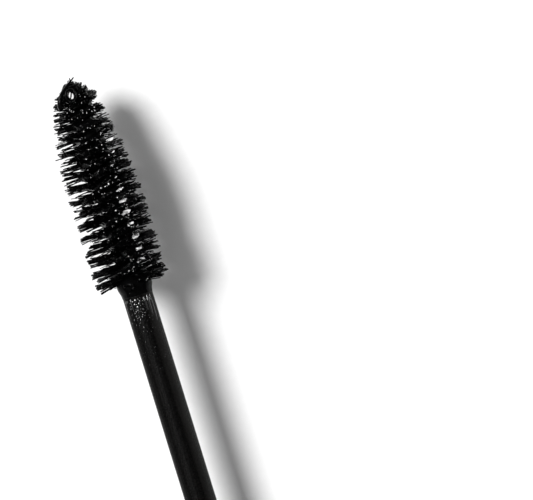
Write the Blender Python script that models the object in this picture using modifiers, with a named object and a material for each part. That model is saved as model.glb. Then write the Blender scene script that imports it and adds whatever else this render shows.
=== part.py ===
"""Mascara, opened: an applicator wand (cap, stem, twisted-wire brush) lying on its
side in line with the threaded tube that it was drawn out of.

Row frame: metres, +Z up, +X along the common axis of wand and tube, from the cap's
closed end towards the tube's base. The origin is the middle of the whole object's
footprint, on the surface that the cap and the tube lie on.

Axial places below are written as u, in millimetres, measured along +X from the end of
the stem, where the brush begins. AXIS_Z is the height of the axis.
"""

import math

import bmesh
import bpy
from mathutils import Matrix, Vector

# ------------------------------------------------------------------ driving sizes, mm
OUTER_R = 9.2            # cap and tube, across the rounded corners of their soft square section
FLAT_R = 8.5             # axis to each of the four flats, so also the height of the axis
AXIS_Z = FLAT_R
SHELL_IN_R = 8.1         # round inside of the decorative overshells of cap and tube
INNER_R = 7.8            # outside of the cap core and of the bottle, under the overshells
SNAP_R = 8.05            # retaining beads that hold the overshells
STEM_R = 2.0             # stem, 4.0 mm across
STEM_EXPOSED = 40.0      # from the cap's mouth to the brush
BRUSH_LEN = 28.6         # from the end of the stem to the tip of the paste on the brush
BRUSH_R = 4.7            # widest part of the bristles
WIRE_R = 0.28            # the core wire, before twisting
WIRE_C = 0.44            # from the axis to the middle of each wire strand
TWIST = 3.2              # axial length of one full turn of the twisted core
CAP_LEN = 45.0
GAP = 22.4               # brush tip to tube rim, wand fully drawn
NECK_LEN = 13.0          # rim to shoulder
BODY_LEN = 72.4          # shoulder to base
NECK_R = 6.05
NECK_BORE_R = 5.0
THREAD_PITCH = 2.4
THREAD_TURNS = 1.25      # turns from the first engagement to fully closed
THREAD_BEAD_R = 0.5      # the rounded thread section of a moulded closure
RIDGE_STEP = 0.85        # between the two ridges, along the axis, where they bear on each other
CORE_BORE_R = 6.95       # bore of the threaded cap core
BOTTLE_IN_R = 6.7
SEGMENTS = 48

# ------------------------------------------------------------------ axial places, u in mm
CAP_MOUTH = -STEM_EXPOSED
CAP_END = CAP_MOUTH - CAP_LEN
RIM = BRUSH_LEN + GAP
SHOULDER = RIM + NECK_LEN
BASE = SHOULDER + BODY_LEN
ADVANCE = THREAD_PITCH * THREAD_TURNS
CLOSED_TRAVEL = SHOULDER - 0.3 - CAP_MOUTH      # how far the tube comes on to the wand
RIM_CLOSED = RIM - CLOSED_TRAVEL
FLANGE_FACE = RIM_CLOSED - 2.2
FLANGE_BACK = FLANGE_FACE - 1.2
MIDDLE = (CAP_END + BASE) / 2                   # this u is X = 0

MM = 0.001


def clear_scene():
    for obj in list(bpy.data.objects):
        bpy.data.objects.remove(obj, do_unlink=True)
    for mesh in list(bpy.data.meshes):
        if not mesh.users:
            bpy.data.meshes.remove(mesh)


clear_scene()
scene = bpy.context.scene
scene.unit_settings.scale_length = 1.0
parts = bpy.data.collections.new("mascara")
cutters = bpy.data.collections.new("cutters")
scene.collection.children.link(parts)
scene.collection.children.link(cutters)


# ------------------------------------------------------------------ materials
def material(name, colour, roughness, metallic=0.0):
    mat = bpy.data.materials.new(name)
    mat.use_nodes = True
    shader = next(n for n in mat.node_tree.nodes if n.type == "BSDF_PRINCIPLED")
    shader.inputs["Base Color"].default_value = (*colour, 1.0)
    shader.inputs["Roughness"].default_value = roughness
    shader.inputs["Metallic"].default_value = metallic
    mat.diffuse_color = (*colour, 1.0)
    return mat


GLOSS_BLACK = material("gloss_black_plastic", (0.012, 0.012, 0.013), 0.12)
SATIN_BLACK = material("satin_black_plastic", (0.016, 0.016, 0.017), 0.38)
STEM_BLACK = material("stem_black_plastic", (0.010, 0.010, 0.010), 0.30)
NATURAL = material("natural_polyethylene", (0.62, 0.61, 0.57), 0.35)
RUBBER = material("gasket_elastomer", (0.05, 0.05, 0.05), 0.65)
STEEL = material("stainless_wire", (0.42, 0.42, 0.43), 0.30, 1.0)
NYLON = material("black_nylon_fibre", (0.008, 0.008, 0.008), 0.42)
PASTE = material("black_mascara_paste", (0.004, 0.004, 0.004), 0.16)
TRIM = material("dark_metallised_trim", (0.10, 0.10, 0.11), 0.22, 1.0)


# ------------------------------------------------------------------ helpers
def along_axis(u=0.0, segments=SEGMENTS):
    """Turns local +Z to row +X on the common axis, with a flat facet underneath."""
    return (
        Matrix.Translation(((u - MIDDLE) * MM, 0.0, AXIS_Z * MM))
        @ Matrix.Rotation(math.radians(90), 4, "Y")
        @ Matrix.Rotation(math.pi / segments, 4, "Z")
    )


def place(obj, mat, collection=parts):
    collection.objects.link(obj)
    obj.data.materials.clear()
    obj.data.materials.append(mat)
    return obj


def smooth(mesh, degrees=35):
    mesh.shade_smooth()
    mesh.set_sharp_from_angle(angle=math.radians(degrees))


def turned(name, profile, mat, closed=True, segments=SEGMENTS, collection=parts):
    """A turned piece: profile is (radius, u) in mm, running down the outer side from high u to low u."""
    mesh = bpy.data.meshes.new(name)
    bm = bmesh.new()
    verts = [bm.verts.new((r * MM, 0.0, u * MM)) for r, u in profile]
    for a, b in zip(verts, verts[1:]):
        bm.edges.new((a, b))
    if closed:
        bm.edges.new((verts[-1], verts[0]))
    bm.to_mesh(mesh)
    bm.free()
    obj = bpy.data.objects.new(name, mesh)
    place(obj, mat, collection)
    screw = obj.modifiers.new("turn", "SCREW")
    screw.axis = "Z"
    screw.angle = math.tau
    screw.steps = segments
    screw.render_steps = segments
    screw.use_merge_vertices = True
    screw.merge_threshold = 1e-6
    screw.use_smooth_shade = True
    obj.matrix_world = along_axis(0.0, segments)
    return obj


def rounded(corners, steps=3):
    """A profile with some corners rounded: each corner is (r, u) or (r, u, radius)."""
    out = []
    n = len(corners)
    for i, c in enumerate(corners):
        here = Vector((c[0], c[1]))
        if len(c) < 3:
            out.append((here.x, here.y))
            continue
        before = (Vector(corners[i - 1][:2]) - here).normalized()
        after = (Vector(corners[(i + 1) % n][:2]) - here).normalized()
        half = before.angle(after) / 2
        reach = c[2] / math.tan(half)
        centre = here + (before + after).normalized() * (c[2] / math.sin(half))
        start, end = here + before * reach - centre, here + after * reach - centre
        turn = start.angle(end)
        side = 1 if start.cross(end) > 0 else -1
        for k in range(steps + 1):
            a = side * turn * k / steps
            p = centre + Matrix.Rotation(a, 2) @ start
            out.append((p.x, p.y))
    return out


def as_mesh(curve_obj, name, mat, collection=parts):
    """The curve's evaluated surface as a welded mesh object in the same place."""
    bpy.context.view_layer.update()
    graph = bpy.context.evaluated_depsgraph_get()
    mesh = bpy.data.meshes.new_from_object(curve_obj.evaluated_get(graph))
    mesh.name = name
    bm = bmesh.new()
    bm.from_mesh(mesh)
    bmesh.ops.remove_doubles(bm, verts=bm.verts, dist=1e-7)
    bmesh.ops.recalc_face_normals(bm, faces=bm.faces)
    bm.to_mesh(mesh)
    bm.free()
    obj = bpy.data.objects.new(name, mesh)
    obj.matrix_world = curve_obj.matrix_world.copy()
    old = curve_obj.data
    bpy.data.objects.remove(curve_obj, do_unlink=True)
    bpy.data.curves.remove(old)
    place(obj, mat, collection)
    smooth(mesh, 50)
    return obj


def wire(name, points, radius, mat, resolution=2, radii=None, collection=parts):
    """A round wire along points, (x, y, z) in mm in local axes with +Z along the axis."""
    curve = bpy.data.curves.new(name + "_path", "CURVE")
    curve.dimensions = "3D"
    curve.bevel_depth = radius * MM
    curve.bevel_resolution = resolution
    curve.use_fill_caps = True
    spline = curve.splines.new("POLY")
    spline.points.add(len(points) - 1)
    for i, p in enumerate(points):
        spline.points[i].co = (p[0] * MM, p[1] * MM, p[2] * MM, 1.0)
        spline.points[i].radius = 1.0 if radii is None else radii[i]
    obj = bpy.data.objects.new(name + "_path", curve)
    obj.matrix_world = along_axis()
    scene.collection.objects.link(obj)
    return as_mesh(obj, name, mat, collection)


def thread(name, centre_r, u_from, turns, start_turn, collection=cutters):
    """A rounded helical thread ridge whose ends run out. u falls or rises with the turn, right-handed about +X."""
    count = int(24 * turns)
    points, radii = [], []
    for i in range(count + 1):
        t = turns * i / count
        a = math.tau * (start_turn + t)
        points.append((centre_r * math.cos(a), centre_r * math.sin(a), u_from + THREAD_PITCH * t))
        radii.append(0.35 + 0.65 * min(1.0, min(i, count - i) / 3))
    return wire(name, points, THREAD_BEAD_R, SATIN_BLACK, 2, radii, collection)


def boolean(obj, other, operation):
    mod = obj.modifiers.new(other.name, "BOOLEAN")
    mod.operation = operation
    mod.solver = "EXACT"
    mod.object = other
    other.hide_render = True
    other.display_type = "WIRE"


def soft_square(obj, u_from, u_to):
    """Cuts four flats on a round piece."""
    bpy.ops.mesh.primitive_cube_add(size=1.0)
    block = bpy.context.active_object
    block.name = obj.name + "_flats"
    for c in list(block.users_collection):
        c.objects.unlink(block)
    cutters.objects.link(block)
    block.data.transform(Matrix.Diagonal(((u_to - u_from + 4) * MM, 2 * FLAT_R * MM, 2 * FLAT_R * MM, 1.0)))
    block.matrix_world = Matrix.Translation((((u_from + u_to) / 2 - MIDDLE) * MM, 0, AXIS_Z * MM))
    boolean(obj, block, "INTERSECT")


def shift(profile, du):
    return [(r, u + du) for r, u in profile]


# ================================================================== applicator
# --- cap overshell: a deep gloss cup with a shallow recess in its closed end
cap_shell = turned(
    "cap_shell",
    rounded(
        [
            (0.0, CAP_END + 1.5),
            (SHELL_IN_R, CAP_END + 1.5, 0.5),
            (SHELL_IN_R, CAP_MOUTH, 0.15),
            (OUTER_R, CAP_MOUTH, 0.35),
            (OUTER_R, CAP_END, 0.7),
            (7.7, CAP_END, 0.1),
            (7.7, CAP_END + 0.55),
            (0.0, CAP_END + 0.55),
        ]
    ),
    GLOSS_BLACK,
    closed=False,
)
soft_square(cap_shell, CAP_END, CAP_MOUTH)

turned(
    "cap_end_inlay",
    [(0.0, CAP_END + 0.5)]
    + rounded([(0.0, CAP_END + 0.5), (7.6, CAP_END + 0.5), (7.6, CAP_END + 0.02, 0.15), (0.0, CAP_END + 0.02)])[1:-1]
    + [(0.0, CAP_END + 0.02)],
    TRIM,
    closed=False,
)

# --- cap core: the threaded inner cap, with a web and a boss that grip the stem's spigot
CORE_TOP = CAP_END + 5.0
WEB = FLANGE_BACK - 0.1
core = turned(
    "cap_core",
    [
        (INNER_R, CAP_MOUTH - 0.3),
        (INNER_R, WEB - 2.0), (SNAP_R, WEB - 2.4), (SNAP_R, WEB - 3.0), (INNER_R, WEB - 3.4),
        (INNER_R, CORE_TOP + 4.4), (SNAP_R, CORE_TOP + 4.0), (SNAP_R, CORE_TOP + 3.4), (INNER_R, CORE_TOP + 3.0),
        (INNER_R - 0.1, CORE_TOP),
        (CORE_BORE_R, CORE_TOP),
        (CORE_BORE_R, WEB - 2.0),
        (3.9, WEB - 2.0),
        (3.9, WEB - 12.0),
        (2.3, WEB - 12.0),
        (2.3, WEB),
        (CORE_BORE_R, WEB),
        (CORE_BORE_R, CAP_MOUTH - 0.9),
        (CORE_BORE_R + 0.35, CAP_MOUTH - 0.3),
    ],
    SATIN_BLACK,
)
for i, turn in enumerate((0.0, 90.0)):
    bpy.ops.mesh.primitive_cube_add(size=1.0)
    rib = bpy.context.active_object
    rib.name = f"core_rib_{i}"
    for c in list(rib.users_collection):
        c.objects.unlink(rib)
    cutters.objects.link(rib)
    rib.data.transform(Matrix.Diagonal((1.0 * MM, 14.4 * MM, 9.0 * MM, 1.0)))
    rib.matrix_world = (
        Matrix.Translation(((WEB - 2.0 - 4.4 - MIDDLE) * MM, 0, AXIS_Z * MM))
        @ Matrix.Rotation(math.radians(turn), 4, "X")
        @ Matrix.Rotation(math.radians(90), 4, "Y")
    )
    boolean(core, rib, "UNION")
spigot_way = turned(
    "spigot_way",
    [(0.0, WEB + 1.0), (2.3, WEB + 1.0), (2.3, WEB - 14.0), (0.0, WEB - 14.0)],
    SATIN_BLACK,
    closed=False,
    collection=cutters,
)
boolean(core, spigot_way, "DIFFERENCE")
# Closed, the core's ridge lies RIDGE_STEP nearer the shoulder than the neck's, so that it pulls the cap down.
# Its leading end stops 20 degrees short, so that the ridges part after exactly THREAD_TURNS.
FEMALE_TURNS = 1.0
MALE_START = RIM + 2.0
female_lead = RIM_CLOSED + 2.0 + RIDGE_STEP + THREAD_PITCH * (THREAD_TURNS - 20 / 360)
female = thread(
    "core_thread",
    CORE_BORE_R - 0.1,
    female_lead - THREAD_PITCH * FEMALE_TURNS,
    FEMALE_TURNS,
    THREAD_TURNS - 20 / 360 - FEMALE_TURNS,
)
# At rest the tube stands THREAD_TURNS back from where it is closed, and so does the thread it shows the core.
female.matrix_world = along_axis() @ Matrix.Rotation(-math.tau * THREAD_TURNS, 4, "Z")
boolean(core, female, "UNION")

# --- stem: moulded rod with a sealing flange and a ribbed spigot that is pressed into the core
turned(
    "stem",
    [
        (0.78, 0.0),
        (STEM_R - 0.3, 0.0), (STEM_R - 0.09, -0.09), (STEM_R, -0.3),
        (STEM_R, FLANGE_FACE),
        (5.6, FLANGE_FACE), (5.6, FLANGE_BACK),
        (2.05, FLANGE_BACK),
        (2.05, FLANGE_BACK - 2.0), (2.22, FLANGE_BACK - 2.4), (2.22, FLANGE_BACK - 3.2), (2.05, FLANGE_BACK - 3.6),
        (2.05, FLANGE_BACK - 6.0), (2.22, FLANGE_BACK - 6.4), (2.22, FLANGE_BACK - 7.2), (2.05, FLANGE_BACK - 7.6),
        (2.05, FLANGE_BACK - 11.2), (1.6, FLANGE_BACK - 12.0),
        (0.0, FLANGE_BACK - 12.0),
        (0.0, -9.0),
        (0.78, -9.0),
    ],
    STEM_BLACK,
    closed=True,
    segments=32,
)

# --- liner washer and gasket: loose on the stem, inside the cap
turned(
    "liner_washer",
    [(5.2, FLANGE_FACE + 0.65), (5.2, FLANGE_FACE + 0.1), (2.12, FLANGE_FACE + 0.1), (2.12, FLANGE_FACE + 0.65)],
    NATURAL,
    segments=32,
)
GASKET_CLOSED = FLANGE_FACE + 0.7
turned(
    "gasket",
    shift(
        rounded([(5.4, 0.8, 0.15), (5.4, 0.0, 0.15), (2.14, 0.0, 0.1), (2.14, 0.8, 0.1)], 2),
        GASKET_CLOSED + ADVANCE,
    ),
    RUBBER,
    segments=32,
)

# --- core wire: one wire bent double and twisted, its two ends staked in the stem
per_turn = 14
wire_from, wire_to = -8.4, BRUSH_LEN - 1.75
turns = (wire_to - wire_from) / TWIST
count = int(turns * per_turn)
strand = []
for i in range(count + 1):
    u = wire_from + (wire_to - wire_from) * i / count
    a = math.tau * (u - wire_to) / TWIST
    strand.append((a, u))
going = [(WIRE_C * math.cos(a), WIRE_C * math.sin(a), u) for a, u in strand]
coming = [(-WIRE_C * math.cos(a), -WIRE_C * math.sin(a), u) for a, u in reversed(strand)]
bend = [
    (WIRE_C * math.cos(b), 0.0, wire_to + WIRE_C * math.sin(b) * 1.3)
    for b in (math.pi * k / 8 for k in range(1, 8))
]
wire("core_wire", going + bend + coming, WIRE_R, STEEL, 1)

# --- bristles: fibres nipped between the two strands and twisted with them into a double helical blade
def brush_radius(u):
    """Radius of the bristle tips: nearly straight for two thirds of the brush, then a bullet nose."""
    knots = [(1.2, 4.35), (4.0, 4.6), (9.0, 4.7), (16.0, 4.65), (20.0, 4.25), (24.0, 3.45), (26.0, 2.9), (27.2, 2.2)]
    for (a, ra), (b, rb) in zip(knots, knots[1:]):
        if u <= b:
            t = (u - a) / (b - a)
            return ra + (rb - ra) * max(0.0, t)
    return knots[-1][1]


def helical_blade(name, u_from, u_to, step_deg, mat):
    """A flat bar through the axis, lofted along +Z while it turns: thin between the wires, thicker at its edges."""
    mesh = bpy.data.meshes.new(name)
    bm = bmesh.new()
    n = int(round((u_to - u_from) / TWIST * 360 / step_deg))
    rings = []
    for i in range(n + 1):
        u = u_from + (u_to - u_from) * i / n
        a = math.tau * (u - wire_to) / TWIST + math.pi / 2
        r = brush_radius(u)
        half = [(r, -0.20), (r, 0.20), (0.95, 0.05), (0.30, 0.05), (-0.30, 0.05), (-0.95, 0.05)]
        section = half + [(-x, -y) for x, y in half]
        ring = []
        for x, y in section:
            ring.append(
                bm.verts.new(((x * math.cos(a) - y * math.sin(a)) * MM, (x * math.sin(a) + y * math.cos(a)) * MM, u * MM))
            )
        rings.append(ring)
    for low, high in zip(rings, rings[1:]):
        for k in range(12):
            j = (k + 1) % 12
            bm.faces.new((low[k], low[j], high[j], high[k]))
    bm.faces.new(list(reversed(rings[0])))
    bm.faces.new(rings[-1])
    bmesh.ops.triangulate(bm, faces=bm.faces)
    bmesh.ops.recalc_face_normals(bm, faces=bm.faces)
    bm.to_mesh(mesh)
    bm.free()
    obj = bpy.data.objects.new(name, mesh)
    place(obj, mat)
    smooth(mesh, 40)
    obj.matrix_world = along_axis()
    return obj


helical_blade("bristles", 1.75, wire_to - 0.25, 10, NYLON)

# --- mascara paste left on the brush: a bell-shaped collar at the stem's end and a dome on the tip
turned(
    "paste_collar",
    [
        (0.80, 1.6), (2.35, 1.6), (2.62, 1.42), (2.66, 1.2), (2.50, 0.8), (2.22, 0.45), (2.02, 0.08), (0.80, 0.08),
    ],
    PASTE,
    segments=32,
)
tip_from = BRUSH_LEN - 0.85
turned(
    "paste_tip",
    [(0.0, BRUSH_LEN)]
    + [
        (1.55 * math.sin(math.radians(b)), tip_from + 0.85 * math.cos(math.radians(b)))
        for b in range(15, 91, 15)
    ]
    + [(0.0, tip_from)],
    PASTE,
    closed=False,
    segments=24,
)

# ================================================================== tube
bottle = turned(
    "bottle",
    [
        (NECK_BORE_R, RIM), (NECK_R - 0.15, RIM), (NECK_R, RIM + 0.2),
        (NECK_R, RIM + 8.4), (6.5, RIM + 8.7), (6.5, RIM + 9.2), (NECK_R, RIM + 9.5),
        (NECK_R, SHOULDER + 1.7),
        (INNER_R - 0.2, SHOULDER + 1.7), (INNER_R, SHOULDER + 1.9),
        (INNER_R, SHOULDER + 10.0), (SNAP_R, SHOULDER + 10.4), (SNAP_R, SHOULDER + 11.0), (INNER_R, SHOULDER + 11.4),
        (INNER_R, BASE - 9.4), (SNAP_R, BASE - 9.0), (SNAP_R, BASE - 8.4), (INNER_R, BASE - 8.0),
        (INNER_R, BASE - 1.8), (INNER_R - 0.4, BASE - 1.4),
        (0.0, BASE - 1.4),
        (0.0, BASE - 2.4),
        (BOTTLE_IN_R - 0.5, BASE - 2.4), (BOTTLE_IN_R, BASE - 2.9),
        (BOTTLE_IN_R, SHOULDER + 4.6), (NECK_BORE_R, SHOULDER + 2.4),
    ][::-1],
    GLOSS_BLACK,
    closed=True,
)
male = thread("neck_thread", NECK_R + 0.12, MALE_START, 1.5, 0.0)
boolean(bottle, male, "UNION")

ring = turned(
    "shoulder_ring",
    rounded([(OUTER_R, SHOULDER + 1.6, 0.1), (OUTER_R, SHOULDER, 0.3), (6.15, SHOULDER), (6.15, SHOULDER + 1.6)]),
    TRIM,
)
soft_square(ring, SHOULDER, SHOULDER + 1.6)
bottle_shell = turned(
    "tube_shell",
    rounded(
        [
            (OUTER_R, BASE - 0.2, 0.6),
            (OUTER_R, SHOULDER + 1.75, 0.15),
            (SHELL_IN_R, SHOULDER + 1.75),
            (SHELL_IN_R, BASE - 0.2),
        ]
    ),
    GLOSS_BLACK,
)
soft_square(bottle_shell, SHOULDER, BASE)
turned(
    "base_plug",
    [(0.0, BASE)] + rounded([(0.0, BASE), (8.02, BASE, 0.25), (8.02, BASE - 1.2), (0.0, BASE - 1.2)])[1:-1] + [(0.0, BASE - 1.2)],
    SATIN_BLACK,
    closed=False,
)
# --- wiper: a flanged elastomer sleeve that narrows to a lip, which scrapes the brush
turned(
    "wiper",
    [
        (4.3, RIM + 7.0), (2.1, RIM + 11.0), (2.1, RIM + 11.7), (2.45, RIM + 11.7),
        (2.7, RIM + 11.2), (4.85, RIM + 7.3),
        (4.85, RIM + 4.2), (4.95, RIM + 3.9), (4.95, RIM + 3.3), (4.85, RIM + 3.0),
        (4.85, RIM - 0.05),
        (5.8, RIM - 0.05), (5.85, RIM - 0.15), (5.85, RIM - 0.6), (5.75, RIM - 0.65),
        (4.5, RIM - 0.65), (4.3, RIM - 0.45),
    ],
    NATURAL,
    segments=36,
)
# --- the mascara itself, as the layer that the drawn brush leaves on the bottle's wall
turned(
    "formula",
    [
        (BOTTLE_IN_R - 0.1, SHOULDER + 9.0), (5.3, SHOULDER + 10.5),
        (5.3, BASE - 3.3), (5.0, BASE - 2.95), (0.0, BASE - 2.95),
        (0.0, BASE - 2.55), (BOTTLE_IN_R - 0.65, BASE - 2.55), (BOTTLE_IN_R - 0.1, BASE - 3.05),
    ],
    PASTE,
    segments=36,
)
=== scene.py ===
"""The looks of the opened mascara: paste-loaded fibres, wet paste, satin stem, gloss cap and tube."""

import math

import bpy
import numpy as np
from mathutils import Matrix, Vector, noise

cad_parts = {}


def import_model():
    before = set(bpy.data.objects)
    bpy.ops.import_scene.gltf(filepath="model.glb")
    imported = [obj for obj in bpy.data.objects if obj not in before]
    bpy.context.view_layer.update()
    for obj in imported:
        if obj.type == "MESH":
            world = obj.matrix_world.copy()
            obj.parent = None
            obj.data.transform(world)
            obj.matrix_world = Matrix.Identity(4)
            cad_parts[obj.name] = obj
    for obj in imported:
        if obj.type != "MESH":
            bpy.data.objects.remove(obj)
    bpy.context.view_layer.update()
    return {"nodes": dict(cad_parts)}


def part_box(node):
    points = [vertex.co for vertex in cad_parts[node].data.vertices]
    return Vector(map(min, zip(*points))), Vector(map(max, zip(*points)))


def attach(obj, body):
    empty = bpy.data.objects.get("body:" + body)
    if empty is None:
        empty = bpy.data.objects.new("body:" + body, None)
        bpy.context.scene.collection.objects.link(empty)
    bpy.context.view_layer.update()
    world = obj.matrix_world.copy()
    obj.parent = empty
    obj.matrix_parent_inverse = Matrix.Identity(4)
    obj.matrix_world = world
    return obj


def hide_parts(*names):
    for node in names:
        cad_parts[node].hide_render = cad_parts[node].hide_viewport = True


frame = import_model()
MM = 0.001

# ------------------------------------------------------------------ places, from the CAD
X0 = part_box("stem")[1].x                                     # end of the stem, where the brush begins
AZ = (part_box("stem")[0].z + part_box("stem")[1].z) / 2         # height of the axis
BRUSH_END = (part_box("paste_tip")[1].x - X0) / MM
TWIST = 3.2
U_ROW = 2.0                                                  # a row of fibres points to +Y here
rng = np.random.default_rng(11)


def world(u, y, z):
    return np.stack([X0 + np.asarray(u) * MM, np.asarray(y) * MM, AZ + np.asarray(z) * MM], axis=-1)


# ------------------------------------------------------------------ materials
class Nodes:
    def __init__(self, name):
        self.mat = bpy.data.materials.new(name)
        self.mat.use_nodes = True
        self.tree = self.mat.node_tree
        self.shader = next(n for n in self.tree.nodes if n.type == "BSDF_PRINCIPLED")
        self.coords = self.add("ShaderNodeTexCoord").outputs["Object"]

    def add(self, kind, **values):
        node = self.tree.nodes.new(kind)
        for key, value in values.items():
            setattr(node, key, value)
        return node

    def link(self, a, b):
        self.tree.links.new(a, b)

    def set(self, **values):
        for key, value in values.items():
            self.shader.inputs[key.replace("_", " ")].default_value = value

    def stretched(self, scale):
        node = self.add("ShaderNodeMapping")
        node.inputs["Scale"].default_value = scale
        self.link(self.coords, node.inputs["Vector"])
        return node.outputs["Vector"]

    def noise(self, scale, detail=3.0, roughness=0.5, vector=None, distortion=0.0):
        node = self.add("ShaderNodeTexNoise")
        node.inputs["Scale"].default_value = scale
        node.inputs["Detail"].default_value = detail
        node.inputs["Roughness"].default_value = roughness
        node.inputs["Distortion"].default_value = distortion
        self.link(vector or self.coords, node.inputs["Vector"])
        return node.outputs["Fac"]

    def cells(self, scale, vector=None, feature="F1"):
        node = self.add("ShaderNodeTexVoronoi", feature=feature)
        node.inputs["Scale"].default_value = scale
        self.link(vector or self.coords, node.inputs["Vector"])
        return node.outputs["Distance"]

    def ramp(self, fac, stops):
        node = self.add("ShaderNodeValToRGB")
        while len(node.color_ramp.elements) < len(stops):
            node.color_ramp.elements.new(0.5)
        for element, (at, colour) in zip(node.color_ramp.elements, stops):
            element.position = at
            element.color = (*colour, 1.0) if len(colour) == 3 else colour
        self.link(fac, node.inputs["Fac"])
        return node.outputs["Color"]

    def span(self, fac, low, high, from_low=0.3, from_high=0.7):
        node = self.add("ShaderNodeMapRange")
        node.inputs["From Min"].default_value = from_low
        node.inputs["From Max"].default_value = from_high
        node.inputs["To Min"].default_value = low
        node.inputs["To Max"].default_value = high
        self.link(fac, node.inputs["Value"])
        return node.outputs["Result"]

    def bump(self, height, strength, distance):
        node = self.add("ShaderNodeBump")
        node.inputs["Strength"].default_value = strength
        node.inputs["Distance"].default_value = distance
        self.link(height, node.inputs["Height"])
        before = self.shader.inputs["Normal"].links
        if before:
            self.link(before[0].from_socket, node.inputs["Normal"])
        self.link(node.outputs["Normal"], self.shader.inputs["Normal"])

    def colour(self, fac, stops):
        self.link(self.ramp(fac, stops), self.shader.inputs["Base Color"])

    def rough(self, fac, low, high):
        self.link(self.span(fac, low, high), self.shader.inputs["Roughness"])


def plastic(name, dark, light, rough, spec, grain=2600.0, grain_depth=0.000004, coat=0.0):
    """Moulded plastic: slow flow variation in tone and gloss, fine tool grain, and a few long rub marks."""
    m = Nodes(name)
    flow = m.noise(140.0, 3.0)
    m.colour(flow, [(0.3, dark), (0.7, light)])
    scuffs = m.noise(900.0, 2.0, vector=m.stretched((0.12, 1.0, 1.0)))
    m.rough(scuffs, *rough)
    m.bump(m.noise(grain, 2.0), 0.35, grain_depth)
    m.bump(m.noise(120.0, 1.0, vector=m.stretched((0.25, 1.0, 1.0))), 0.15, 0.00002)
    m.set(Specular_IOR_Level=spec)
    if coat:
        m.set(Coat_Weight=coat, Coat_Roughness=0.05)
    return m.mat


GLOSS = plastic("gloss_black_moulding", (0.006, 0.006, 0.007), (0.012, 0.012, 0.014), (0.10, 0.20), 0.5, grain_depth=0.000001, coat=0.6)
SATIN = plastic("satin_black_moulding", (0.010, 0.010, 0.011), (0.020, 0.020, 0.021), (0.36, 0.50), 0.4)
NECK = plastic("neck_black_moulding", (0.006, 0.006, 0.007), (0.012, 0.012, 0.013), (0.20, 0.32), 0.5)
NATURAL = plastic("natural_polyethylene", (0.54, 0.53, 0.49), (0.66, 0.65, 0.60), (0.32, 0.46), 0.45)
RUBBER = plastic("gasket_elastomer", (0.030, 0.030, 0.031), (0.055, 0.055, 0.056), (0.62, 0.80), 0.3, grain=4200.0, grain_depth=0.00001)


def metallised(name):
    """Dark vacuum-metallised trim with turned, circumferential brushing."""
    m = Nodes(name)
    lines = m.noise(5200.0, 2.0, vector=m.stretched((1.0, 0.04, 0.04)))
    m.colour(lines, [(0.3, (0.10, 0.10, 0.105)), (0.7, (0.20, 0.20, 0.21))])
    m.rough(lines, 0.20, 0.34)
    m.bump(lines, 0.25, 0.000004)
    m.set(Metallic=1.0)
    return m.mat


TRIM = metallised("dark_metallised_trim")


def stem_plastic(name):
    """Satin black rod: drawn-out flow streaks, a dusting of specks, a smeared film of paste near the brush, and a -Y
    side painted lighter as a reflection.
    """
    m = Nodes(name)
    streaks = m.noise(1500.0, 4.0, 0.6, vector=m.stretched((0.06, 1.0, 1.0)))
    specks = m.noise(5200.0, 2.0, 0.7)
    # a film of paste darkens the rod, and is wiped away in ragged streaks along the -Y side; that lighter -Y side is
    # also a painted reflection, the brighter sheen along that side of the rod put into the colour
    split = m.add("ShaderNodeSeparateXYZ")
    m.link(m.coords, split.inputs["Vector"])
    ragged = m.add("ShaderNodeMath", operation="MULTIPLY_ADD")
    m.link(m.noise(700.0, 4.0, 0.6, vector=m.stretched((0.16, 1.0, 1.0))), ragged.inputs[0])
    ragged.inputs[1].default_value = 0.0011
    m.link(split.outputs["Y"], ragged.inputs[2])
    wiped_side_and_sheen = m.span(ragged.outputs["Value"], 1.0, 0.0, -0.00115, -0.00005)
    # specks, plus the -Y side mask: bare plastic there and a painted reflection along it
    grain = m.add("ShaderNodeMath", operation="MULTIPLY_ADD")
    m.link(specks, grain.inputs[0])
    grain.inputs[1].default_value = 0.5
    m.link(wiped_side_and_sheen, grain.inputs[2])
    # the lightest stops colour the -Y side: bare plastic and painted reflection together
    m.colour(grain.outputs["Value"], [(0.20, (0.0012, 0.0012, 0.0012)), (0.34, (0.0045, 0.0043, 0.0041)), (0.95, (0.0160, 0.0156, 0.0152)), (1.0, (0.0210, 0.0204, 0.0198))])
    m.rough(m.noise(3600.0, 3.0, 0.7), 0.20, 0.40)
    m.bump(streaks, 0.5, 0.00004)
    m.bump(specks, 0.9, 0.00006)
    m.set(Specular_IOR_Level=0.028)
    return m.mat


STEM = stem_plastic("satin_stem_plastic")


def wet_paste(name, rough, scale, depth, spec=0.5, coat=0.5):
    """Near-black wax paste: wet skin, fine lumps, a faint blue-grey bloom that varies at random."""
    m = Nodes(name)
    lumps = m.noise(scale, 4.0, 0.6)
    m.colour(m.noise(420.0, 2.0), [(0.3, (0.0008, 0.0008, 0.0008)), (0.7, (0.0020, 0.0020, 0.0022))])
    m.rough(m.noise(scale * 0.6, 2.0), *rough)
    m.bump(lumps, 0.6, depth)
    m.bump(m.cells(scale * 1.7), 0.25, depth * 0.5)
    m.set(Specular_IOR_Level=spec, Coat_Weight=coat, Coat_Roughness=0.06)
    return m.mat


PASTE = wet_paste("wet_mascara_paste", (0.06, 0.14), 2200.0, 0.00007, 0.07, 0.0)
COLLAR = wet_paste("smooth_mascara_paste", (0.08, 0.18), 1500.0, 0.00006, 0.035, 0.0)
FILM = wet_paste("stretched_mascara_film", (0.08, 0.16), 1400.0, 0.000014, 0.42, 0.0)
BEAD = wet_paste("beaded_mascara_paste", (0.05, 0.10), 1400.0, 0.000003, 1.0, 0.0)
FIBRE = wet_paste("paste_coated_nylon", (0.05, 0.10), 4200.0, 0.00002, 0.13, 0.0)


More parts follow.
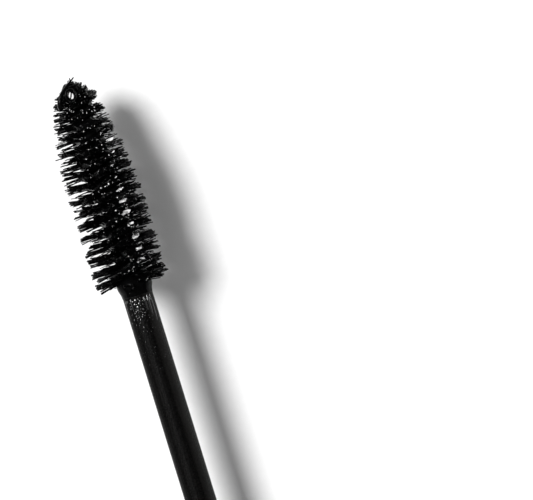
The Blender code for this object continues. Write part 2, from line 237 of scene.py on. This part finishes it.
def steel(name):
    m = Nodes(name)
    drawn = m.noise(6000.0, 2.0, vector=m.stretched((0.2, 1.0, 1.0)))
    m.colour(drawn, [(0.3, (0.30, 0.30, 0.31)), (0.7, (0.44, 0.44, 0.45))])
    m.rough(drawn, 0.22, 0.36)
    m.bump(drawn, 0.3, 0.000004)
    m.set(Metallic=1.0)
    return m.mat


STEEL = steel("drawn_stainless_wire")


# ------------------------------------------------------------------ carried-over CAD pieces
def repaint(node, mat):
    obj = frame["nodes"][node]
    obj.data.materials.clear()
    obj.data.materials.append(mat)


for node, mat in {
    "cap_shell": GLOSS, "tube_shell": GLOSS, "bottle": NECK, "cap_core": SATIN, "base_plug": SATIN,
    "cap_end_inlay": TRIM, "shoulder_ring": TRIM, "stem": STEM, "wiper": NATURAL, "liner_washer": NATURAL,
    "gasket": RUBBER, "formula": PASTE,
}.items():
    repaint(node, mat)


# ------------------------------------------------------------------ mesh helpers
def add_mesh(name, verts, faces, mat, body="wand", smooth=True):
    mesh = bpy.data.meshes.new(name)
    mesh.from_pydata(np.asarray(verts).reshape(-1, 3).tolist(), [], [tuple(f) for f in faces])
    mesh.materials.append(mat)
    if smooth:
        mesh.shade_smooth()
    mesh.update()
    obj = bpy.data.objects.new(name, mesh)
    bpy.context.scene.collection.objects.link(obj)
    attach(obj, body)
    return obj


def tubes(lines, radii, sides=6):
    """Round-ended tubes along many lines at once. lines (N, K, 3) in mm, radii (N, K) in mm. Returns verts and faces."""
    n, k, _ = lines.shape
    tangent = np.gradient(lines, axis=1)
    tangent /= np.linalg.norm(tangent, axis=2, keepdims=True)
    ref = np.zeros_like(tangent)
    ref[..., 0] = 1.0
    along = np.abs(tangent[..., 0]) > 0.9
    ref[along] = (0.0, 0.3, 1.0)
    a = ref - (ref * tangent).sum(2, keepdims=True) * tangent
    a /= np.linalg.norm(a, axis=2, keepdims=True)
    b = np.cross(tangent, a)
    # two closing rings and a pole at each end
    ends, end_r = [], []
    for at, sign in ((0, -1.0), (-1, 1.0)):
        for lift, shrink in ((0.55, 0.83), (0.88, 0.45)):
            ends.append(lines[:, at] + sign * tangent[:, at] * radii[:, at, None] * lift)
            end_r.append(radii[:, at] * shrink)
    centre = np.concatenate([ends[1][:, None], ends[0][:, None], lines, ends[2][:, None], ends[3][:, None]], 1)
    rad = np.concatenate([end_r[1][:, None], end_r[0][:, None], radii, end_r[2][:, None], end_r[3][:, None]], 1)
    av = np.concatenate([a[:, :1], a[:, :1], a, a[:, -1:], a[:, -1:]], 1)
    bv = np.concatenate([b[:, :1], b[:, :1], b, b[:, -1:], b[:, -1:]], 1)
    rings = centre.shape[1]
    ang = np.arange(sides) * math.tau / sides
    ring = (
        centre[:, :, None]
        + rad[:, :, None, None] * (np.cos(ang)[None, None, :, None] * av[:, :, None] + np.sin(ang)[None, None, :, None] * bv[:, :, None])
    ).reshape(n, rings * sides, 3)
    low = (lines[:, 0] - tangent[:, 0] * radii[:, 0, None])[:, None]
    high = (lines[:, -1] + tangent[:, -1] * radii[:, -1, None])[:, None]
    verts = np.concatenate([ring, low, high], 1)
    per = rings * sides + 2
    face = []
    for i in range(rings - 1):
        for j in range(sides):
            q = (j + 1) % sides
            face.append((i * sides + j, i * sides + q, (i + 1) * sides + q, (i + 1) * sides + j))
    tri = []
    for j in range(sides):
        q = (j + 1) % sides
        tri.append((rings * sides, q, j))
        tri.append((rings * sides + 1, (rings - 1) * sides + j, (rings - 1) * sides + q))
    base = (np.arange(n) * per)[:, None, None]
    quads = (np.asarray(face)[None] + base).reshape(-1, 4)
    tris = (np.asarray(tri)[None] + base).reshape(-1, 3)
    return verts.reshape(-1, 3), quads.tolist() + tris.tolist()


def to_world(points_mm):
    p = np.asarray(points_mm).reshape(-1, 3)
    return world(p[:, 0], p[:, 1], p[:, 2])


def fbm(x, y, z, octaves=3):
    total, amp = 0.0, 1.0
    for _ in range(octaves):
        total += amp * noise.noise(Vector((x, y, z)))
        x, y, z, amp = x * 2.03 + 5.1, y * 2.03 + 1.7, z * 2.03 + 9.3, amp * 0.5
    return total


# ------------------------------------------------------------------ the brush
def reach(u, phi):
    """Distance from the axis to the fibre tips. The +Y side stands a little longer than the wiped -Y side."""
    knots_u = np.array([0.8, 1.8, 4.0, 9.0, 14.0, 18.0, 19.7, 21.7, 23.2, 24.9, 26.2, 27.4])
    knots_r = np.array([4.40, 4.60, 4.66, 4.74, 4.66, 4.36, 4.12, 3.76, 3.46, 3.14, 2.95, 2.35])
    side = np.interp(u, [0.0, 14.0, 22.0], [0.04, 0.05, 0.10])
    return np.interp(u, knots_u, knots_r) * (1 + side * np.cos(phi))


def make_fibres():
    per_turn = 138
    first, last = 1.05, BRUSH_END - 1.55
    lines, radii = [], []
    for side in (0.0, math.pi):
        u = np.arange(first, last, TWIST / per_turn)
        n = len(u)
        phi = math.tau * (u - U_ROW) / TWIST + side + rng.normal(0, math.radians(5.0), n)
        root_u = u + rng.normal(0, 0.19, n)
        tip_u = u + rng.normal(0, 0.25, n)
        length = reach(u, phi) * (1 + rng.normal(0, 0.02, n))
        wet = np.clip(0.40 + 0.5 * np.array([fbm(x * 0.35, math.cos(p) * 1.1, math.sin(p) * 1.1, 2) for x, p in zip(u, phi)]), 0, 1)
        wet = np.clip(wet + 0.6 * np.exp(-((u - 2.0) / 1.6) ** 2), 0, 1)
        # fibres next to each other are drawn together by the paste into spikes, which lean to and fro along the brush
        tip_phi = phi.copy()
        order = np.argsort(phi - math.tau * (rng.normal(0, 0.01, n)))
        i = 0
        while i < n:
            size = int(rng.choice([1, 2, 3, 4, 5], p=[0.30, 0.30, 0.22, 0.12, 0.06]))
            if wet[order[min(i, n - 1)]] > 0.8:
                size += 2
            group = order[i : i + size]
            pull = rng.uniform(0.25, 0.90)
            tip_phi[group] += pull * (phi[group].mean() - phi[group])
            tip_u[group] += pull * (tip_u[group].mean() - tip_u[group]) + rng.normal(0, 0.27)
            length[group] *= 1 + rng.normal(0, 0.035) - 0.13 * (rng.random() < 0.09)
            i += size
        k = 7
        t = np.linspace(0, 1, k)[None]
        sway = rng.normal(0, math.radians(1.6), n)[:, None] * t**2
        lean = rng.normal(0, 0.05, n)[:, None] * t**2
        angle = phi[:, None] + (tip_phi - phi)[:, None] * t**0.8 + sway
        axial = root_u[:, None] + (tip_u - root_u)[:, None] * t**0.9 + lean + rng.normal(0, 0.012, (n, k))
        # towards the end of the brush the fibres fan out past the wire, and at its start a little towards the stem
        axial += np.clip(u - (last - 2.2), 0, 3)[:, None] * 0.45 * t**1.2
        axial -= np.clip(first + 1.2 - u, 0, 2)[:, None] * 0.20 * t
        r = 0.30 + (length[:, None] - 0.30) * t
        lines.append(np.stack([axial, r * np.cos(angle), r * np.sin(angle)], -1))
        thin = rng.uniform(0.046, 0.068, n)[:, None]
        load = (0.8 + 1.3 * wet)[:, None]
        lumpy = 1 + rng.normal(0, 0.10, (n, k))
        rad = thin * (1 + load * np.exp(-((t / 0.52) ** 2)) + 0.30 * wet[:, None] * t**4) * lumpy
        rad[:, -1] *= rng.uniform(0.8, 1.5, n)          # a bead of paste left on many tips
        radii.append(rad)
    # loose fibres that fill the nose
    n, k = 150, 7
    t = np.linspace(0, 1, k)[None]
    u = rng.uniform(last - 3.4, last + 0.2, n)
    phi = rng.uniform(0, math.tau, n)
    length = reach(u, phi) * rng.uniform(0.84, 1.02, n)
    ahead = np.clip(u - (last - 2.4), 0, 3)[:, None] * rng.uniform(0.25, 0.75, n)[:, None]
    axial = u[:, None] + ahead * t**1.1 + rng.normal(0, 0.14, n)[:, None] * t**2
    angle = phi[:, None] + rng.normal(0, 0.08, n)[:, None] * t**2
    r = 0.30 + (length[:, None] - 0.30) * t
    lines.append(np.stack([axial, r * np.cos(angle), r * np.sin(angle)], -1))
    radii.append(rng.uniform(0.050, 0.085, n)[:, None] * (1 + 0.8 * np.exp(-((t / 0.6) ** 2))) * (1 + rng.normal(0, 0.08, (n, k))))
    # the wiped -Y side is packed closer, its fibres knocked a little out of their rows
    n = 560
    phi = math.pi + rng.normal(0, 0.55, n)
    turn = rng.integers(0, int(2 * (last - 1.5 - first) / TWIST), n)
    u = first + 0.6 + (turn + (phi / math.tau * 2 - (first + 0.6 - U_ROW) / TWIST * 2) % 1.0) * TWIST / 2 + rng.normal(0, 0.24, n)
    length = reach(u, phi) * rng.uniform(0.72, 0.98, n)
    axial = u[:, None] + rng.normal(0, 0.20, n)[:, None] * t + rng.normal(0, 0.012, (n, k))
    angle = phi[:, None] + rng.normal(0, 0.05, n)[:, None] * t**2
    r = 0.30 + (length[:, None] - 0.30) * t
    thick = rng.uniform(0.055, 0.085, n)[:, None] * (1 + 0.9 * np.exp(-((t / 0.7) ** 2))) * (1 + rng.normal(0, 0.08, (n, k)))
    packed = u < 18.5                                      # further on, the rows stand apart on this side too
    lines.append(np.stack([axial, r * np.cos(angle), r * np.sin(angle)], -1)[packed])
    radii.append(thick[packed])
    # matted clumps at the foot of the brush on the +Y side
    for u, deg, length, fat in ((1.35, 8, 4.45, 0.20), (1.65, -14, 4.5, 0.17), (2.0, 22, 4.6, 0.18), (2.4, -30, 4.4, 0.15), (2.8, 12, 4.5, 0.14), (1.5, 40, 4.3, 0.16)):
        angle = math.radians(deg) + 0.10 * t[0] ** 2
        r = 0.6 + (length - 0.6) * t[0]
        lines.append(np.stack([u + 0.5 * (1 - t[0]) - 0.25 * t[0] ** 2, r * np.cos(angle), r * np.sin(angle)], -1)[None])
        radii.append((fat * (1.15 - 0.55 * t[0]) * (1 + rng.normal(0, 0.14, k)))[None])
    lines, radii = np.concatenate(lines), np.concatenate(radii)
    # the nose is trimmed round: no point stands outside a dome that is a little fuller on the +Y side
    from_axis = np.hypot(lines[..., 1], lines[..., 2])
    full = np.interp(lines[..., 0], [24.6, 24.7, 26.0, 26.9, 27.6, 28.2, 28.6], [9.0, 4.2, 3.15, 2.45, 1.85, 1.15, 0.45])
    full = full * (1 + 0.10 * lines[..., 1] / np.maximum(from_axis, 0.1))
    full *= rng.uniform(0.86, 1.12, len(lines))[:, None]
    full = np.minimum(full, 4.98)                           # and every tip clears the wall of the bottle
    trim = np.minimum(1.0, full / np.maximum(from_axis, 0.01)).min(axis=1)[:, None]
    trim = 1 - (1 - trim) * np.linspace(0.35, 1.0, lines.shape[1])[None]
    lines[..., 1] *= trim
    lines[..., 2] *= trim
    middle = np.median(lines[:, 0, 0])
    for name, part in (("brush_fibres_rear", lines[:, 0, 0] <= middle), ("brush_fibres_front", lines[:, 0, 0] > middle)):
        verts, faces = tubes(lines[part], radii[part], 5)
        obj = add_mesh(name, to_world(verts), faces, FIBRE)
        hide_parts("bristles")
    return lines[:, -1]


tips = make_fibres()


def make_core_paste():
    """Paste packed round the wire and up the foot of each row."""
    us = np.arange(1.4, BRUSH_END - 1.0, 0.07)
    sides = 72
    verts = []
    for u in us:
        ends = min(1.0, (u - 1.2) / 0.8) * min(1.0, (BRUSH_END - 0.75 - u) / 1.2)
        for s in range(sides):
            phi = math.tau * s / sides
            row = 0.5 + 0.5 * math.cos(2 * (phi - math.tau * (u - U_ROW) / TWIST))
            base = 1.35 + 0.95 * row**2 + 0.75 * max(0.0, -math.cos(phi)) * min(1.0, max(0.15, (22.0 - u) / 4))
            lump = fbm(u * 1.1, math.cos(phi) * 1.3, math.sin(phi) * 1.3, 2)
            fine = fbm(u * 4.2 + 7, math.cos(phi) * 5, math.sin(phi) * 5, 2)
            r = base * (1 + 0.22 * lump) + 0.16 * fine * (0.5 + row) + 0.40 * max(0.0, lump) * row
            r = min(r, 3.4 - 0.42 * max(0.0, u - 22.5))       # it stays under the trimmed nose
            r = 0.55 + (max(r, 0.6) - 0.55) * max(0.0, ends)
            verts.append((u, r * math.cos(phi), r * math.sin(phi)))
    n = len(us)
    faces = []
    for i in range(n - 1):
        for s in range(sides):
            q = (s + 1) % sides
            faces.append((i * sides + s, (i + 1) * sides + s, (i + 1) * sides + q, i * sides + q))
    faces.append(tuple(range(sides)))
    faces.append(tuple(reversed(range((n - 1) * sides, n * sides))))
    return add_mesh("paste_between_rows", to_world(verts), faces, PASTE)


make_core_paste()


def lens(centre, normal, along, a, b, h, sides, rings=4, rough=0.15):
    """A flat wet bead: vertices and faces of a shallow lens that faces along normal."""
    normal = normal.normalized()
    along = (along - along.dot(normal) * normal).normalized()
    other = normal.cross(along)
    out = []
    bulge = rng.uniform(1 - rough, 1 + rough, sides)
    for i in range(rings):
        th = math.pi * (0.07 + 0.86 * i / (rings - 1))
        for s in range(sides):
            w = math.tau * s / sides
            q = centre + along * (a * bulge[s] * math.sin(th) * math.cos(w)) + other * (b * bulge[s] * math.sin(th) * math.sin(w)) + normal * (h * math.cos(th))
            out.append((q.x, q.y, q.z))
    f = [(i * sides + s, (i + 1) * sides + s, (i + 1) * sides + (s + 1) % sides, i * sides + (s + 1) % sides) for i in range(rings - 1) for s in range(sides)]
    f += [tuple(range(sides)), tuple(reversed(range((rings - 1) * sides, rings * sides)))]
    return out, f


def make_beads():
    """Flattened beads of wet paste left on the ends of the fibres, all round the brush and thickest on top."""
    verts, faces = [], []
    lit = Vector((0.150, 0.263, 0.953)).normalized()
    for tip in tips:
        u, y, z = (float(v) for v in tip)
        top = z > 2.2 and -2.6 < y < 1.6
        if rng.random() > (0.36 if top else 0.05):
            continue
        outward = Vector((0, y, z)).normalized()
        normal = (lit * 2.2 if top else Vector((0, 0, 0))) + outward * 0.30 + Vector(rng.normal(0, 0.11, 3))
        size = rng.uniform(0.06, 0.13) * (1.6 if rng.random() < 0.10 else 1.0)
        lift = min(0.10, 4.98 - math.hypot(y, z))
        v, f = lens(Vector((u, y, z)) + outward * lift, normal, Vector(rng.normal(0, 1, 3)), size * rng.uniform(1.0, 1.5), size, size * 0.12, 9)
        start = len(verts)
        verts += v
        faces += [tuple(i + start for i in g) for g in f]
    return add_mesh("fibre_end_beads", to_world(verts), faces, BEAD)


make_beads()


def make_bent_fibres():
    """Single wet fibres on the upper -Y side, bent over by the wiper so that they lie nearly level and shine along their length."""
    n, k = 84, 6
    t = np.linspace(0, 1, k)[None]
    turn = rng.integers(0, 13, n)
    u = U_ROW + TWIST * 0.39 + (turn - 0.5) * TWIST / 2 + rng.normal(0, 0.30, n)
    off = (u - (U_ROW + TWIST * (114 / 360) + 0.8) + 0.8) % 1.6 - 0.8    # how far from the nearest film
    u += np.where(np.abs(off) < 0.40, np.sign(off) * (0.40 + rng.uniform(0, 0.25, n)) - off, 0.0)
    y = -rng.uniform(1.7, 2.9, n)
    z = np.sqrt(3.25**2 - y**2)
    long = rng.uniform(0.7, 1.5, n) * np.interp(u, [18, 24], [1.0, 0.6])
    rise = 0.27 + rng.normal(0, 0.05, n)
    line = np.stack(
        [
            u[:, None] + long[:, None] * t * rng.normal(0.02, 0.07, n)[:, None],
            y[:, None] - long[:, None] * t * 0.964,
            z[:, None] + long[:, None] * (t * rise[:, None] - 0.05 * t**2),
        ],
        -1,
    )
    shrink = np.minimum(1.0, 4.45 * np.interp(line[..., 0], [18, 24.5], [1.0, 0.72]) / np.hypot(line[..., 1], line[..., 2]))
    line[..., 1] *= shrink
    line[..., 2] *= shrink
    rad = rng.uniform(0.055, 0.085, n)[:, None] * (1.15 - 0.45 * t) * (1 + rng.normal(0, 0.06, (n, k)))
    verts, faces = tubes(line, rad, 8)
    return add_mesh("bent_wet_fibres", to_world(verts), faces, BEAD)


make_bent_fibres()


def make_films():
    """Small wet films of paste that bridge the rows on the upper -Y side, and catch the light."""
    verts, faces = [], []
    rings, sides = 7, 28
    normal = Vector((0.150, 0.263, 0.953)).normalized()
    for i in range(11):
        phi = math.radians(114)
        u = U_ROW + TWIST * (114 / 360) + 1.6 * (i + 0.5) + rng.normal(0, 0.06)
        y0 = -1.95 - (0.5 if i > 8 else 0.0) + rng.normal(0, 0.12)
        centre = Vector((u, y0, 2.62 + rng.normal(0, 0.10)))
        across = Vector((rng.normal(0.0, 0.06), -1.0, 0.2))
        across = (across - across.dot(normal) * normal).normalized()
        other = normal.cross(across)
        a, b, h = rng.uniform(0.44, 0.70), rng.uniform(0.22, 0.34), 0.018
        if i in (7, 8, 9):
            a, b = a * 0.42, b * 0.5
        start = len(verts)
        for r in range(rings):
            th = math.pi * (0.06 + 0.88 * r / (rings - 1))
            for k in range(sides):
                w = math.tau * k / sides
                corner = (abs(math.cos(w)) ** 3.2 + abs(math.sin(w)) ** 3.2) ** (-1 / 3.2)
                edge = corner * (1 + 0.34 * noise.noise(Vector((math.cos(w) * 1.9 + i * 5, math.sin(w) * 1.9, i))))
                skew = 0.30 * math.sin(w)
                q = centre + across * (a * math.sin(th) * (math.cos(w) + skew) * edge) + other * (b * math.sin(th) * math.sin(w) * edge) + normal * (h * math.cos(th))
                verts.append((q.x, q.y, q.z))
        for r in range(rings - 1):
            for k in range(sides):
                j = (k + 1) % sides
                faces.append((start + r * sides + k, start + (r + 1) * sides + k, start + (r + 1) * sides + j, start + r * sides + j))
        faces.append(tuple(range(start, start + sides)))
        faces.append(tuple(reversed(range(start + (rings - 1) * sides, start + rings * sides))))
    return add_mesh("paste_films", to_world(verts), faces, FILM)


make_films()


def lathe(name, profile, mat, sides=64, wobble=0.0, seed=0.0, body="wand"):
    """A turned, uneven piece from (u, r) pairs, closed at both ends on the axis."""
    verts = []
    for u, r in profile:
        for s in range(sides):
            phi = math.tau * s / sides
            w = 1 + wobble * fbm(u * 0.9 + seed, math.cos(phi) * 1.2, math.sin(phi) * 1.2 + seed, 2)
            verts.append((u, r * w * math.cos(phi), r * w * math.sin(phi)))
    n = len(profile)
    faces = []
    for i in range(n - 1):
        for s in range(sides):
            q = (s + 1) % sides
            faces.append((i * sides + s, (i + 1) * sides + s, (i + 1) * sides + q, i * sides + q))
    faces.append(tuple(range(sides)))
    faces.append(tuple(reversed(range((n - 1) * sides, n * sides))))
    return add_mesh(name, to_world(verts), faces, mat, body)


# --- collar of paste on the stem's end: a rounded bead with a meniscus down the stem
collar = [(-0.50, 1.97), (-0.38, 2.035), (-0.15, 2.05), (0.1, 2.09), (0.35, 2.18), (0.65, 2.29), (1.0, 2.34), (1.35, 2.28), (1.65, 2.10), (1.9, 1.85), (2.1, 1.5), (2.25, 1.1), (2.3, 0.8)]
obj = lathe("collar_paste", collar, COLLAR, 72, 0.035, 3.0)
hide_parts("paste_collar")


# --- smooth twisted wire, its loop coated at the tip
def wire_lines():
    c, end = 0.44, BRUSH_END - 1.75
    u = np.arange(-0.5, end, TWIST / 40)
    a = math.tau * (u - U_ROW) / TWIST + math.pi / 2
    b = np.linspace(0, math.pi, 15)[1:-1]
    a_end = math.tau * (end - U_ROW) / TWIST + math.pi / 2
    going = np.stack([u, c * np.cos(a), c * np.sin(a)], -1)
    back = np.stack([u, -c * np.cos(a), -c * np.sin(a)], -1)[::-1]
    bend = np.stack([end + c * 1.3 * np.sin(b), c * np.cos(b) * math.cos(a_end), c * np.cos(b) * math.sin(a_end)], -1)
    line = np.concatenate([going, bend, back])
    return line[None], np.full((1, len(line)), 0.28)


verts, faces = tubes(*wire_lines(), 12)
obj = add_mesh("twisted_wire", to_world(verts), faces, STEEL)
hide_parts("core_wire")


# --- paste on the tip: a coated loop round a wet pool, with strands pulled out of it
def make_tip():
    end = BRUSH_END - 1.2
    verts, faces = [], []
    rings, sides = 40, 48
    for i in range(rings + 1):
        th = math.pi * i / rings
        for s in range(sides):
            phi = math.tau * s / sides
            d = Vector((math.cos(th), math.sin(th) * math.cos(phi), math.sin(th) * math.sin(phi)))
            w = 1 + 0.22 * fbm(d.x * 1.6 + 4, d.y * 1.6, d.z * 1.6, 2) + 0.05 * fbm(d.x * 6, d.y * 6, d.z * 6 + 2, 2)
            verts.append((end - 0.45 + 1.45 * d.x * w, 0.30 + 1.75 * d.y * w, 1.70 * d.z * w))
    for i in range(rings):
        for s in range(sides):
            q = (s + 1) % sides
            faces.append((i * sides + s, (i + 1) * sides + s, (i + 1) * sides + q, i * sides + q))
    lines, radii = [], []
    k = 16
    t = np.linspace(0, 1, k)
    # the coated loop, seen from above as a ring round a highlight
    a = np.linspace(-0.4, math.pi * 1.75, k)
    lines.append(np.stack([end - 0.68 + 0.84 * np.sin(a), 0.50 + 0.66 * np.cos(a), 2.46 + 0.08 * np.sin(2 * a)], -1))
    radii.append(0.17 * (1 - 0.35 * t))
    # a long hooked fibre over the end
    bez = lambda p0, p1, p2, p3: ((1 - t) ** 3)[:, None] * np.array(p0) + (3 * (1 - t) ** 2 * t)[:, None] * np.array(p1) + (3 * (1 - t) * t**2)[:, None] * np.array(p2) + (t**3)[:, None] * np.array(p3)
    for pts, r0, r1 in (
        (((25.6, 2.30, 1.5), (26.9, 2.35, 1.9), (27.7, 1.3, 1.8), (28.95, -0.40, 1.3)), 0.36, 0.08),
        (((26.3, 1.7, 1.4), (27.3, 1.5, 1.7), (27.9, 0.6, 1.4), (28.0, -0.4, 0.9)), 0.36, 0.16),
        (((26.2, 0.2, 1.9), (26.9, -0.2, 1.9), (27.3, -0.9, 1.5), (27.2, -1.7, 0.9)), 0.24, 0.09),
        (((26.0, 0.9, 2.4), (26.5, 0.6, 2.66), (27.0, 0.45, 2.66), (27.4, 0.25, 2.40)), 0.055, 0.045),
        (((26.8, 0.2, -0.8), (27.4, 0.5, -1.0), (27.8, 0.3, -1.2), (28.0, -0.1, -1.4)), 0.20, 0.09),
    ):
        lines.append(bez(*pts))
        radii.append(r0 + (r1 - r0) * t**1.6)
    tv, tf = tubes(np.array(lines), np.array(radii), 10)
    # the wet pool inside the loop, a shallow lens that faces up
    pool, rim, n = [], 32, Vector((0.150, 0.263, 0.953)).normalized()
    long = (Vector((1, 0.25, 0)) - Vector((1, 0.25, 0)).dot(n) * n).normalized()
    wide = n.cross(long)
    for i in range(6):
        for s in range(rim):
            w, q = math.tau * s / rim, math.sin(math.pi * (0.06 + 0.88 * i / 5))
            p = Vector((end - 0.68, 0.50, 2.44)) + long * (0.66 * q * math.cos(w)) + wide * (0.46 * q * math.sin(w)) + n * (0.03 * math.cos(math.pi * (0.06 + 0.88 * i / 5)))
            pool.append((p.x, p.y, p.z))
    pf = [(i * rim + s, (i + 1) * rim + s, (i + 1) * rim + (s + 1) % rim, i * rim + (s + 1) % rim) for i in range(5) for s in range(rim)]
    pf += [tuple(range(rim)), tuple(reversed(range(5 * rim, 6 * rim)))]
    add_mesh("tip_pool", to_world(pool), pf, FILM)
    offset = len(verts)
    verts = np.concatenate([np.array(verts), tv])
    faces += [tuple(i + offset for i in f) for f in tf]
    obj = add_mesh("tip_paste", to_world(verts), faces, PASTE)
    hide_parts("paste_tip")


make_tip()


# --- beads and runs of paste on the end of the stem
def make_droplets():
    stem_r = 2.0
    verts, faces = [], []

    def dome(u, phi, ru, rp, h, rings=5, sides=12):
        start = len(verts)
        for i in range(rings):
            th = math.pi / 2 * (1 - i / (rings - 0.5)) * 1.0
            flat, up = math.sin(th), math.cos(th)
            for s in range(sides):
                w = math.tau * s / sides
                du, dp = ru * flat * math.cos(w), rp * flat * math.sin(w)
                r = stem_r - 0.02 + h * up
                verts.append((u + du, r * math.cos(phi + dp / stem_r), r * math.sin(phi + dp / stem_r)))
        for i in range(rings - 1):
            for s in range(sides):
                q = (s + 1) % sides
                faces.append((start + i * sides + s, start + i * sides + q, start + (i + 1) * sides + q, start + (i + 1) * sides + s))
        top = len(verts)
        r = stem_r - 0.02 + h
        verts.append((u, r * math.cos(phi), r * math.sin(phi)))
        for s in range(sides):
            faces.append((start + (rings - 1) * sides + s, start + (rings - 1) * sides + (s + 1) % sides, top))
        faces.append(tuple(reversed(range(start, start + sides))))

    placed = [(-1.05, math.radians(78), 0.22), (-1.55, math.radians(90), 0.18), (-1.25, math.radians(96), 0.16), (-1.95, math.radians(80), 0.20), (-1.5, math.radians(70), 0.15)]
    for u, phi, size in placed:
        dome(u, phi, size * 1.1, size, size * 0.26, 6, 18)
    for _ in range(1400):
        far = rng.exponential(1.5)
        u, phi = -0.80 - far, math.radians(rng.normal(86, 22))
        size = rng.uniform(0.08, 0.17) * math.exp(-far / 6)
        if u < -9 or any((u - a) ** 2 + (2 * (phi - b)) ** 2 < (1.25 * (size + c)) ** 2 for a, b, c in placed):
            continue
        placed.append((u, phi, size))
        dome(u, phi, size * rng.uniform(0.9, 1.25), size, size * rng.uniform(0.22, 0.34))
        if len(placed) == 95:
            break
    for _ in range(260):
        size = rng.uniform(0.025, 0.065)
        dome(-rng.uniform(1.0, 11.0), rng.uniform(0, math.tau), size * rng.uniform(1, 1.8), size, size * rng.uniform(0.25, 0.5), 3, 7)
    for u, deg, length, width, h in (
        (-2.0, 128, 1.5, 0.20, 0.16), (-1.7, 114, 1.0, 0.14, 0.10), (-2.4, 141, 1.9, 0.18, 0.15),
        (-1.5, 60, 0.9, 0.09, 0.05), (-1.9, 30, 1.3, 0.08, 0.05), (-1.7, 250, 1.4, 0.12, 0.07), (-1.6, 320, 1.0, 0.1, 0.06),
    ):
        dome(u, math.radians(deg), length, width, h, 6, 20)
    return add_mesh("stem_droplets", to_world(verts), faces, BEAD)


make_droplets()

# ------------------------------------------------------------------ floor, light, camera
bpy.ops.mesh.primitive_grid_add(x_subdivisions=8, y_subdivisions=8, size=8.0, location=(0, 0, 0))
floor = bpy.context.active_object
floor.name = "paper_floor"
paper = Nodes("white_paper")
paper.colour(paper.noise(900.0, 3.0), [(0.3, (0.92, 0.92, 0.92)), (0.7, (0.94, 0.94, 0.94))])
paper.set(Roughness=0.9, Specular_IOR_Level=0.0)
floor.data.materials.append(paper.mat)

# image right and image up as row directions: the wand runs up and to the left, 17.15 degrees from upright
TILT = math.radians(90 + 17.15)
right = Vector((math.cos(-TILT), math.sin(-TILT), 0))
up = Vector((-right.y, right.x, 0))

travel = (right * 5.85 - up * 1.30) * MM + Vector((0, 0, -8.5 * MM))
sun = bpy.data.lights.new("key", "SUN")
sun.energy = 3.85
sun.angle = math.radians(24)
key = bpy.data.objects.new("key", sun)
key.rotation_mode = "QUATERNION"
key.rotation_quaternion = travel.to_track_quat("-Z", "Y")
bpy.context.scene.collection.objects.link(key)

fill = bpy.data.lights.new("fill", "SUN")
fill.energy = 0.80
fill.angle = math.radians(130)
overhead = bpy.data.objects.new("fill", fill)
bpy.context.scene.collection.objects.link(overhead)

sky = bpy.data.worlds.new("studio")
bpy.context.scene.world = sky
sky.use_nodes = True
nodes, links = sky.node_tree.nodes, sky.node_tree.links
coords = nodes.new("ShaderNodeTexCoord")
split = nodes.new("ShaderNodeSeparateXYZ")
ramp = nodes.new("ShaderNodeValToRGB")
links.new(coords.outputs["Generated"], split.inputs["Vector"])
links.new(split.outputs["Z"], ramp.inputs["Fac"])
stops = [(0.0, 1.0), (0.035, 1.0), (0.07, 0.12), (0.45, 0.05), (0.75, 0.01), (1.0, 0.008)]
while len(ramp.color_ramp.elements) < len(stops):
    ramp.color_ramp.elements.new(0.5)
for element, (at, value) in zip(ramp.color_ramp.elements, stops):
    element.position = at
    element.color = (value, value, value, 1.0)
links.new(ramp.outputs["Color"], nodes["Background"].inputs["Color"])

FIELD = 0.13 * 533 * MM                     # width of the view at the height of the axis
lens = bpy.data.cameras.new("camera")
lens.lens = 200.0
lens.sensor_width = 36.0
lens.clip_start = 0.01
lens.clip_end = 50.0
camera = bpy.data.objects.new("camera", lens)
bpy.context.scene.collection.objects.link(camera)
aim = Vector((X0, 0, AZ)) + right * (129.9 * 0.13 * MM) + up * (42.0 * 0.13 * MM)
away = FIELD * lens.lens / lens.sensor_width
camera.matrix_world = Matrix(
    (
        (right.x, up.x, 0, aim.x),
        (right.y, up.y, 0, aim.y),
        (right.z, up.z, 1, aim.z + away),
        (0, 0, 0, 1),
    )
)
bpy.context.scene.camera = camera
bpy.context.scene.view_settings.view_transform = "Standard"
